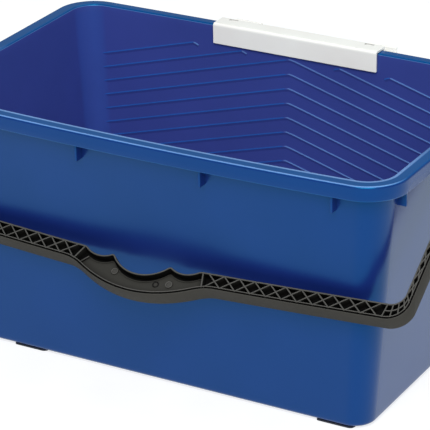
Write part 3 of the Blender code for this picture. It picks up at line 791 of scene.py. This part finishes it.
# %% Build the rails and the web
RAIL, LIP_TOP, EDGE, WEB_THICK = 1.3 * MM, HALF_THICK - 0.5 * MM, 0.3 * MM, 1 * MM
RAIL_ROOT = 1.9 * MM


def mirrored_section(upper):
    """A section from its upper half: the lower half is the same, upside down and backwards."""
    upper = np.asarray(upper)
    return np.concatenate([upper, upper[::-1] * (1, -1)])


def rail(path, section):
    """The section carried along a flat path: first number out from the path, second number up."""
    out, up = np.asarray(section).T[:, None, :]
    flat = path[:, None, :] + out[..., None] * outwards_from(path)[:, None, :]
    return shell(placed(flat, up))


def strip(near, far, low, high):
    """A plate between two paths of equally many points, from one height to another."""
    flat = np.stack([near, far, far, near], axis=1)
    return shell(placed(flat, np.array([low, low, high, high])[None, :]))


inner_section = mirrored_section([(0, HALF_THICK - EDGE), (EDGE, HALF_THICK),
                                  (RAIL - EDGE, HALF_THICK), (RAIL, HALF_THICK - EDGE)])
groove_floor = HALF_THICK - 1.5 * MM
outer_section = mirrored_section([(0, LIP_TOP - 0.6 * MM), (-0.12 * MM, LIP_TOP - 0.25 * MM),
                                  (-0.35 * MM, LIP_TOP), (-0.55 * MM, LIP_TOP),
                                  (-0.6 * MM, groove_floor), (-1.6 * MM, groove_floor),
                                  (-1.65 * MM, HALF_THICK - EDGE), (-1.85 * MM, HALF_THICK),
                                  (-2.4 * MM, HALF_THICK), (-2.6 * MM, HALF_THICK - EDGE)])
handle_shells, handle_places = [], []


def add_skins(skins, places):
    """Keep the skins, and their points' places: one for all, or one for each column."""
    for skin in skins:
        columns = np.atleast_1d(np.asarray(places, float))
        handle_shells.append(skin)
        handle_places.append(np.tile(columns, len(skin[0]) // len(columns)))


# The inner rail's tops get a painted highlight and its side towards the pockets painted shade; the
# outer rail's lip and top get painted highlights and its groove painted shade; the web is painted
# in the pockets' shade.
add_skins([rail(inner_path, inner_section)], [BODY, TOP_HIGHLIGHT, TOP_HIGHLIGHT, RECESS_SHADE, RECESS_SHADE, TOP_HIGHLIGHT, TOP_HIGHLIGHT, BODY])
OUTER_PLACES = [BODY, BODY, LIP_HIGHLIGHT, LIP_HIGHLIGHT, RECESS_SHADE, RECESS_SHADE, RECESS_SHADE, TOP_HIGHLIGHT, TOP_HIGHLIGHT, RECESS_SHADE]
add_skins([rail(outer_path, outer_section)], OUTER_PLACES + OUTER_PLACES[::-1])
add_skins([strip(inner_path + 0.5 * RAIL * outwards_from(inner_path),
                 outer_path - 1.8 * MM * outwards_from(outer_path), -WEB_THICK, WEB_THICK)], RECESS_SHADE)
print("rails and web:", [len(points) for points, _ in handle_shells], "points")

# %% [markdown]
# ## Lattice ribs
# Between the rails the handle is all X-shaped ribs, so that it's stiff and still light. Pairs of
# points stand opposite each other on the two rails every 12.2 mm, and each pair is joined
# crosswise to the next. The crossing ribs are 0.05 mm different in height, so that no two faces
# lie in the same place. Round the corners the ribs run straight across, with one along the middle.
# The tops of the ribs get a painted highlight, and their flanks painted shade that sinks into the
# painted dark of the pockets.

# %% Build the ribs
CELL, CELL_START, BAR_CELLS, ARM_CELLS = 12.2 * MM, 55.3 * MM, 11, 9
RIB, RIB_CHAMFER, RIB_ROOT, CROSS_STEP = 1.15 * MM, 0.25 * MM, 0.3 * MM, 0.05 * MM


def ribs(starts, ends, top, width=RIB):
    """A straight rib with chamfered tops for each pair of flat points, let into the rails."""
    along = unit(ends - starts)
    ends_in = np.stack([starts - RIB_ROOT * along, ends + RIB_ROOT * along], axis=1)
    half, cut = width / 2, RIB_CHAMFER
    section = mirrored_section([(-half, top - cut), (cut - half, top), (half - cut, top),
                                (half, top - cut)])
    side, up = section.T
    flat = ends_in[:, :, None, :] + side[:, None] * left_of(along)[:, None, None, :]
    return [shell(rings) for rings in placed(flat, up)]


def crosses(inner_points, outer_points, top):
    """Ribs from each inner point to the next outer one, and from each outer to the next inner."""
    rising = ribs(inner_points[:-1], outer_points[1:], top)
    falling = ribs(outer_points[:-1], inner_points[1:], top - CROSS_STEP)
    return rising + falling


rib_top = HALF_THICK - 0.12 * MM
u = CELL_START + CELL * np.arange(BAR_CELLS + 1)
bar_in = np.stack([u, inner_edge(u) + RAIL / 2], axis=-1)
bar_out = np.stack([u, outer_edge(u) - RAIL_ROOT], axis=-1)
v = bar_inner(RIM_HALF_X) - INNER_CORNER - CELL * np.arange(ARM_CELLS + 1)
arm_in = np.stack([np.full(len(v), ARM_INNER_X + RAIL / 2), v], axis=-1)
arm_out = np.stack([np.full(len(v), ARM_OUTER_X - RAIL_ROOT), v], axis=-1)

first = len(inner_path) // 2 + BAR_POINTS - 1
steps = first + np.array([0, 4, 8, 12, 16])
near_path = inner_path + RAIL / 2 * outwards_from(inner_path)
far_path = outer_path - RAIL_ROOT * outwards_from(outer_path)
middle_path = (near_path + far_path)[first:first + CORNER_POINTS] / 2
middle_top = rib_top - EDGE / 4
middle_section = mirrored_section([(-RIB / 2, rib_top - 0.3 * MM), (-0.3 * MM, middle_top),
                                   (0.3 * MM, middle_top), (RIB / 2, rib_top - 0.3 * MM)])

RIB_PLACES = [FLANK_SHADE, TOP_HIGHLIGHT, TOP_HIGHLIGHT, FLANK_SHADE] * 2
for side in (1, -1):
    flip = (side, 1)
    add_skins(crosses(bar_in * flip, bar_out * flip, rib_top), RIB_PLACES)
    add_skins(crosses(arm_in * flip, arm_out * flip, rib_top), RIB_PLACES)
    add_skins(ribs(near_path[steps] * flip, far_path[steps] * flip, rib_top - 0.02 * MM),
              RIB_PLACES)
    add_skins([rail(middle_path * flip, middle_section)], RIB_PLACES)
print("handle skins so far:", len(handle_shells))

# %% [markdown]
# ## The grip
# In the grip the lattice gives way to a solid panel, sunk 5 mm between the rails on both faces. A
# narrow deep channel parts it from the scalloped rail. Short ribs close its ends, two on the left
# and one on the right. The ejector pins of the mould leave small round marks on the panel.

# %% Build the grip
PANEL_TOP, CHANNEL, LEDGE, LEDGE_RISE = HALF_THICK - 5 * MM, 2.3 * MM, 0.9 * MM, 0.45 * MM
PANEL_UPPER, PANEL_LOWER = np.array([-45, 49.8]) * MM, np.array([-50.3, 53]) * MM
END_RIB_INNER, END_RIB_OUTER = np.array([-49.4, 50.4]) * MM, np.array([-54, 53.6]) * MM

upper_u, lower_u = np.linspace(*PANEL_UPPER, 160), np.linspace(*PANEL_LOWER, 160)
upper = np.stack([upper_u, inner_edge(upper_u) + RAIL + CHANNEL], axis=-1)
ledge = upper + (0, LEDGE)
lower = np.stack([lower_u, outer_edge(lower_u) - 2.1 * MM], axis=-1)
end_ribs_from = np.stack([END_RIB_INNER, inner_edge(END_RIB_INNER) + RAIL / 2], axis=-1)
end_ribs_to = np.stack([END_RIB_OUTER, outer_edge(END_RIB_OUTER) - RAIL_ROOT], axis=-1)
panel_from, panel_to = upper[:1] + (0.2 * MM, 1 * MM), lower[:1]
MARK_STEPS = 32


def mark(u, v, radius, rise):
    """A low round pad with a soft edge and a dished middle: circles of set radii and heights."""
    angle = np.linspace(0, 2 * np.pi, MARK_STEPS, endpoint=False)
    circle = np.stack([np.cos(angle), np.sin(angle)], axis=-1)
    radii = radius * np.array([1, 1, 0.92, 0.7, 0.6, 0.25])[:, None, None]
    up = PANEL_TOP + rise * np.array([-1.5, 0.4, 1, 1, 0.45, 0.4])[:, None]
    return shell(placed(np.array([u, v]) + radii * circle, up))


add_skins([strip(upper, lower, -PANEL_TOP, PANEL_TOP),
           strip(upper + (0, 0.05 * MM), ledge, -PANEL_TOP - LEDGE_RISE, PANEL_TOP + LEDGE_RISE)],
          BODY)
add_skins(ribs(end_ribs_from, end_ribs_to, rib_top - 0.03 * MM, 1.3 * MM), RIB_PLACES)
add_skins(ribs(panel_from, panel_to, PANEL_TOP + 1.5 * MM, 1.2 * MM), RIB_PLACES)
# The raised ejector marks get a painted highlight on their ring and middle; the sunk one gets
# painted shade in its dish.
RAISED = np.repeat([BODY, BODY, TOP_HIGHLIGHT, TOP_HIGHLIGHT, MARK_HIGHLIGHT, MARK_HIGHLIGHT], MARK_STEPS)
SUNK = np.repeat([BODY, MARK_HIGHLIGHT, RECESS_SHADE, RECESS_SHADE, BODY, BODY], MARK_STEPS)
add_skins([mark(-19.7 * MM, BAR_V + 21.8 * MM, 2.8 * MM, 0.8 * MM),
           mark(26.3 * MM, BAR_V + 22.6 * MM, 2.9 * MM, 0.8 * MM)], RAISED)
add_skins([mark(16.2 * MM, BAR_V + 24.8 * MM, 2.6 * MM, 0.4 * MM)], SUNK)
print("handle skins with the grip:", len(handle_shells))

# %% [markdown]
# ## Eyes and pins
# Each arm ends in a round eye that turns on a push-in pin. An eye is a turned ring with softened
# edges, looped back to its first profile point so that the bore is open. With the eyes in, the
# handle is one moulding, and its points get the places that were kept with its skins.

# %% Build the eyes and finish the handle
EYE_R = 10.5 * MM
eye = [(ARM_INNER_X, hole_r + 0.4 * MM), (ARM_INNER_X, EYE_R - 0.8 * MM),
       (ARM_INNER_X + 0.25 * MM, EYE_R - 0.25 * MM), (ARM_INNER_X + 0.8 * MM, EYE_R),
       (ARM_OUTER_X - 0.8 * MM, EYE_R), (ARM_OUTER_X - 0.25 * MM, EYE_R - 0.25 * MM),
       (ARM_OUTER_X, EYE_R - 0.8 * MM), (ARM_OUTER_X, hole_r + 0.4 * MM),
       (ARM_OUTER_X - 0.4 * MM, hole_r), (ARM_INNER_X + 0.4 * MM, hole_r)]
add_skins([turned(eye, looped=True), turned(mirrored(eye), looped=True)], BODY)
handle = add_piece("bail_handle_moulding", handle_shells, handle_charcoal,
                   "handle_body", "bail_handle")

place = np.concatenate(handle_places)
handle.data.attributes.new("place", "FLOAT", "POINT").data.foreach_set("value", place)
print("points on the tops of rails and ribs:", int((place == TOP_HIGHLIGHT).sum()))

# %% [markdown]
# ## The pins
# A pin is a separate part: a smooth shank with a tapered tip that goes through the eye into the
# tub's boss, and a flat head with a dished face that keeps the arm from slipping off. The room
# between shank and eye is 0.08 mm, and between arm and head 0.3 mm.

# %% Build the two pins
HEAD_R, HEAD, HEAD_GAP = 7.5 * MM, 2 * MM, 0.3 * MM
head_x, tip_x = ARM_OUTER_X + HEAD_GAP, wall_x + 1.5 * MM
pin = [(tip_x, PIN_R * 0.7), (tip_x + 0.4 * MM, PIN_R * 0.86), (tip_x + 1.2 * MM, PIN_R),
       (head_x, PIN_R), (head_x, HEAD_R - 0.3 * MM), (head_x + 0.3 * MM, HEAD_R),
       (head_x + 1.1 * MM, HEAD_R), (head_x + 1.7 * MM, HEAD_R - 0.35 * MM),
       (head_x + HEAD, HEAD_R - 1.1 * MM), (head_x + HEAD, HEAD_R - 2.4 * MM),
       (head_x + HEAD - 0.5 * MM, HEAD_R - 3.2 * MM), (head_x + HEAD - 0.6 * MM, 0.4 * MM)]
for name, profile in (("left_pivot_pin", mirrored(pin)), ("right_pivot_pin", pin)):
    add_piece(f"{name}_turned", [turned(profile)], pin_charcoal, "tub_body", name)

# %% [markdown]
# ## The clip
# A white saddle sits over the back rim. Seen from its end it's an upside-down U with a rounded
# front edge. Two hooks behind it are flush with its ends and hold a brush or the roller's frame.
# Where the mould shapes the hooks it leaves a slot through the top plate, and a Boolean cuts both.

# %% Draw the clip's sections
CLIP_X, CLIP_HALF, CLIP_WALL = 4 * MM, 72 * MM, 2.2 * MM
LIP_Y, REAR_Y, TIP_Y = 110.1 * MM, 126.6 * MM, 149 * MM
CLIP_TOP = RIM_Z + 0.3 * MM + CLIP_WALL
lip_low, rear_low = RIM_Z - 14.7 * MM, RIM_Z - 20 * MM
tip_top = rear_low + 14 * MM

saddle = round_corners(
    [(LIP_Y, lip_low), (LIP_Y, CLIP_TOP), (REAR_Y, CLIP_TOP), (REAR_Y, rear_low),
     (REAR_Y - CLIP_WALL, rear_low), (REAR_Y - CLIP_WALL, CLIP_TOP - CLIP_WALL),
     (LIP_Y + CLIP_WALL, CLIP_TOP - CLIP_WALL), (LIP_Y + CLIP_WALL, lip_low)],
    np.array([0.7, 2.6, 1.6, 0.5, 0.5, 0.3, 0.3, 0.7]) * MM, steps=7)
hook = round_corners(
    [(REAR_Y - 1 * MM, rear_low), (TIP_Y, rear_low), (TIP_Y, tip_top),
     (TIP_Y - CLIP_WALL, tip_top), (TIP_Y - CLIP_WALL, rear_low + CLIP_WALL),
     (REAR_Y - 1 * MM, rear_low + CLIP_WALL)],
    np.array([0.2, 3.2, 0.9, 0.9, 1.6, 0.2]) * MM, steps=7)
print("saddle outline:", len(saddle), "points; hook outline:", len(hook), "points")

# %% [markdown]
# ## The clip's slots
# The two slots are cut by one mesh of two small blocks. The saddle and the hooks run into each
# other, so the Boolean is told that the clip's own skins cross. Its result is kept as the clip's
# mesh. Weighted normals then let the large flat faces decide the shading, and only the rounded
# edges bend it.

# %% Build the clip and cut its slots
left_x, right_x = CLIP_X - CLIP_HALF, CLIP_X + CLIP_HALF
HOOK_WIDE, HOOK_INSET, CLIP_EDGE = 24.4 * MM, 0.2 * MM, 0.35 * MM
SLOT_HALF, SLOT_DEEP, SLOT_X, SLOT_CORNER = 4 * MM, 2.6 * MM, 60 * MM, 0.4 * MM
clip_shells = [
    plate(saddle, left_x, right_x, CLIP_EDGE, order=(1, 2, 0)),
    plate(hook, left_x + HOOK_INSET, left_x + HOOK_WIDE, CLIP_EDGE, order=(1, 2, 0)),
    plate(hook, right_x - HOOK_WIDE, right_x - HOOK_INSET, CLIP_EDGE, order=(1, 2, 0)),
]
clip = add_piece("rim_clip_moulding", clip_shells, clip_white,
                 "clip_body", "rim_clip")

slot_rear = REAR_Y - CLIP_WALL - 0.2 * MM
slot_front = slot_rear - SLOT_DEEP
slot_shells = []
for middle in (CLIP_X - SLOT_X, CLIP_X + SLOT_X):
    low, high = middle - SLOT_HALF, middle + SLOT_HALF
    corners = [(low, slot_front), (high, slot_front), (high, slot_rear), (low, slot_rear)]
    outline = round_corners(corners, SLOT_CORNER, steps=4)
    slot_shells.append(plate(outline, RIM_Z + 0.05 * MM, CLIP_TOP + 2 * MM, 0.1 * MM))
cutter = bpy.data.objects.new("slot_cutter", write_mesh("slot_cutter", slot_shells))
bpy.context.collection.objects.link(cutter)
cut = clip.modifiers.new("slots", "BOOLEAN")
cut.object, cut.operation, cut.solver = cutter, "DIFFERENCE", "EXACT"
cut.use_self = True
cut_clip = clip.evaluated_get(bpy.context.evaluated_depsgraph_get())
cut_mesh = bpy.data.meshes.new_from_object(cut_clip)
clip.modifiers.clear()
clip.data = cut_mesh
bpy.data.objects.remove(cutter)
flats = clip.modifiers.new("flats", "WEIGHTED_NORMAL")
flats.mode, flats.weight, flats.keep_sharp = "FACE_AREA", 100, True
print("clip after cutting:", len(cut_mesh.polygons), "faces")

# %% [markdown]
# ## Foot pads
# Four thin rubber pads keep the tub from sliding. They sit near the long edges of the base, and
# the two on the right follow the curve of its corner. A rounded outline and a softened rim are
# enough for a pad 1.3 mm thick.

# %% Build the pads
PAD_HEIGHT, PAD_DEPTH, PAD_INSET, PAD_CUT = 1.3 * MM, 22 * MM, 1.2 * MM, 5 * MM
PAD_SPANS = {"left": (-135 * MM, -106 * MM), "right": (128 * MM, 158 * MM)}
for end, (low_x, high_x) in PAD_SPANS.items():
    for row, side, edge_y in (("front", -1, BASE_FRONT), ("rear", 1, BASE_BACK)):
        outer = edge_y - PAD_INSET
        inner = outer - PAD_DEPTH
        corners = [(low_x, inner), (high_x, inner), (high_x, outer), (low_x, outer)]
        outline = round_corners(corners, [1.5 * MM, 1.5 * MM, PAD_CUT, 2 * MM], steps=8)
        pad = plate(outline * (1, side), 0, PAD_HEIGHT, 0.25 * MM)
        node = f"foot_{row}_{end}"
        add_piece(f"{node}_pad", [pad], foot_rubber, "tub_body", node)

# %% [markdown]
# ## The floor
# The tub stands on a plain pale floor. Glossy plastic shows what is round it, so the floor matters
# as much as any lamp. It glows a little. Its reflection brightens the front wall, and it lays a
# pale sheen on the end wall, which the camera sees at a low angle.

# %% Lay the floor
FLOOR_HALF = 6.0
floor_mesh = bpy.data.meshes.new("floor")
floor_corners = [(-FLOOR_HALF, -FLOOR_HALF, 0), (FLOOR_HALF, -FLOOR_HALF, 0),
                 (FLOOR_HALF, FLOOR_HALF, 0), (-FLOOR_HALF, FLOOR_HALF, 0)]
floor_mesh.from_pydata(floor_corners, [], [(0, 1, 2, 3)])
floor = bpy.data.objects.new("floor", floor_mesh)
bpy.context.collection.objects.link(floor)
floor_mesh.materials.append(
    plastic("floor_pale", (0.4, 0.4, 0.4), roughness=0.8, specular=0.1, grain_size=2 * MM,
            grain_depth=0.01 * MM, wave_depth=0, rubs=0.05))
floor_shader = floor_mesh.materials[0].node_tree.nodes["Principled BSDF"]
floor_shader.inputs["Emission Color"].default_value = (1, 1, 1, 1)
floor_shader.inputs["Emission Strength"].default_value = 0.7
print("floor:", 2 * FLOOR_HALF, "m square")

# %% [markdown]
# ## The lights
# Large soft lights are what show the shape of glossy plastic. The key hangs high in front of the
# tub and to the right. A weaker one hangs above and a little behind, for the rim and the clip's
# top. A dim, slightly cool world fills the shadows.

# %% Hang the lights
bpy.context.scene.view_settings.view_transform = "Standard"
world = bpy.data.worlds.new("studio")
world.use_nodes = True
world.node_tree.nodes["Background"].inputs["Color"].default_value = (0.8, 0.94, 1, 1)
world.node_tree.nodes["Background"].inputs["Strength"].default_value = 0.32
bpy.context.scene.world = world


def soft_light(name, place, aim, size, watts):
    """A square area light that faces a point."""
    data = bpy.data.lights.new(name, "AREA")
    data.shape, data.size, data.energy = "SQUARE", size, watts
    made = bpy.data.objects.new(name, data)
    made.location = place
    made.rotation_euler = (Vector(aim) - Vector(place)).to_track_quat("-Z", "Y").to_euler()
    bpy.context.collection.objects.link(made)
    return made


centre = (0, 0, 0.11)
lights = [
    soft_light("key", (1.0, -2.0, 2.0), centre, 1.8, 82),
    soft_light("top", (0.2, 0.8, 2.6), centre, 2.0, 19),
]
print("lights:", [light.name for light in lights])

# %% [markdown]
# ## The camera
# The camera stands front right, a little above the tub, with a long lens. Its direction is two
# angles, and a third tilts the view slightly. A camera looks along its own -Z, so its matrix is
# made of the view's right, the view's up, and the direction backwards.

# %% Set the camera
AZIMUTH, ELEVATION, ROLL = math.radians(29.56), math.radians(24.21), math.radians(-0.818)
forward = Vector((-math.sin(AZIMUTH) * math.cos(ELEVATION),
                  math.cos(AZIMUTH) * math.cos(ELEVATION), -math.sin(ELEVATION)))
level_right = forward.cross(Vector((0, 0, 1))).normalized()
level_up = level_right.cross(forward)
right = level_right * math.cos(ROLL) + level_up * math.sin(ROLL)
up = level_up * math.cos(ROLL) - level_right * math.sin(ROLL)
stand = Vector((898.418, -1594.693, 923.376)) * MM + Vector((0, MIDDLE_Y, BASE_Z))

camera_data = bpy.data.cameras.new("camera")
camera_data.sensor_width, camera_data.lens = 36, 219.39
camera = bpy.data.objects.new("camera", camera_data)
turn = Matrix((right, up, -forward)).transposed().to_4x4()
camera.matrix_world = Matrix.Translation(stand) @ turn
bpy.context.collection.objects.link(camera)
bpy.context.scene.camera = camera
print("camera at", [round(value, 3) for value in stand])
